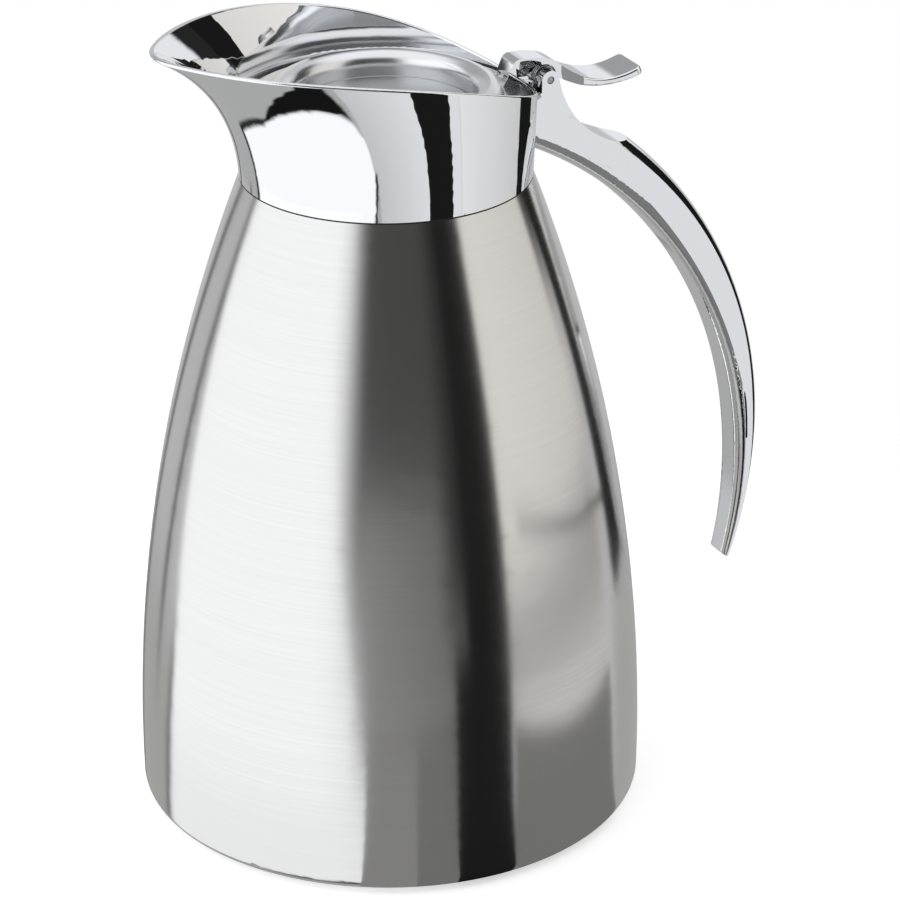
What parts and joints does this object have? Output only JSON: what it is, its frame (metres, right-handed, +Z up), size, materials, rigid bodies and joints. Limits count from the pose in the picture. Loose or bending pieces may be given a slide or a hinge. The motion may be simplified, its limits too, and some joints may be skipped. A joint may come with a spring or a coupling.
{
  "type": "coffee pot",
  "caption": "Insulated steel coffee pot with a flared pouring collar, a sprung lid that a thumb lever lifts, and an open C-shaped handle fixed at the collar.",
  "frame": {"origin": "middle of the foot ring, on the surface that the pot stands on", "axes": "+Z up along the flask's axis, +X from the spout to the handle"},
  "size_m": [0.1723, 0.131, 0.2069],
  "materials": {
    "brushed_body": "fine brushing round the body",
    "plain_steel": "mill finish",
    "inner_steel": "satin, deep drawn",
    "polished_chrome": "mirror polish",
    "lid_chrome": "polish with a soft sheen",
    "brushed_inlay": "fine circular brushing",
    "fastener_steel": "turned",
    "spring_steel": "drawn wire",
    "braze": "matte",
    "getter_metal": "sintered",
    "pale_plastic": "moulded, fine grain",
    "foam": "open foam",
    "black_rubber": "matte",
    "silicone": "satin"
  },
  "bodies": {
    "pot": {"outer_shell": "brushed_body", "outer_base": "plain_steel", "vacuum_seal": "braze", "base_disc": "plain_steel", "foot_ring": "black_rubber", "inner_vessel": "inner_steel", "inner_neck": "inner_steel", "inner_base": "inner_steel", "getter": "getter_metal", "neck_gasket": "black_rubber", "spout_collar": "polished_chrome", "pour_insert": "pale_plastic", "handle": "polished_chrome", "handle_plate": "plain_steel", "handle_screws": "fastener_steel", "hinge_pin": "fastener_steel", "lid_spring": "spring_steel"},
    "lid": {"lid_cover": "lid_chrome", "lid_inlay": "brushed_inlay", "lid_core": "pale_plastic", "lid_foam": "foam", "lid_seal": "silicone", "lid_screws": "fastener_steel", "thumb_lever": "polished_chrome"}
  },
  "joints": [
    {"name": "lid_hinge", "type": "hinge", "parent": "pot", "child": "lid", "pos_m": [0.042, 0, 0.1884], "axis": [0, 1, 0], "range_deg": [0, 32], "stiffness_Nm_per_rad": 0.03, "springref_deg": -28.65, "deforming": ["lid_spring"]}
  ]
}
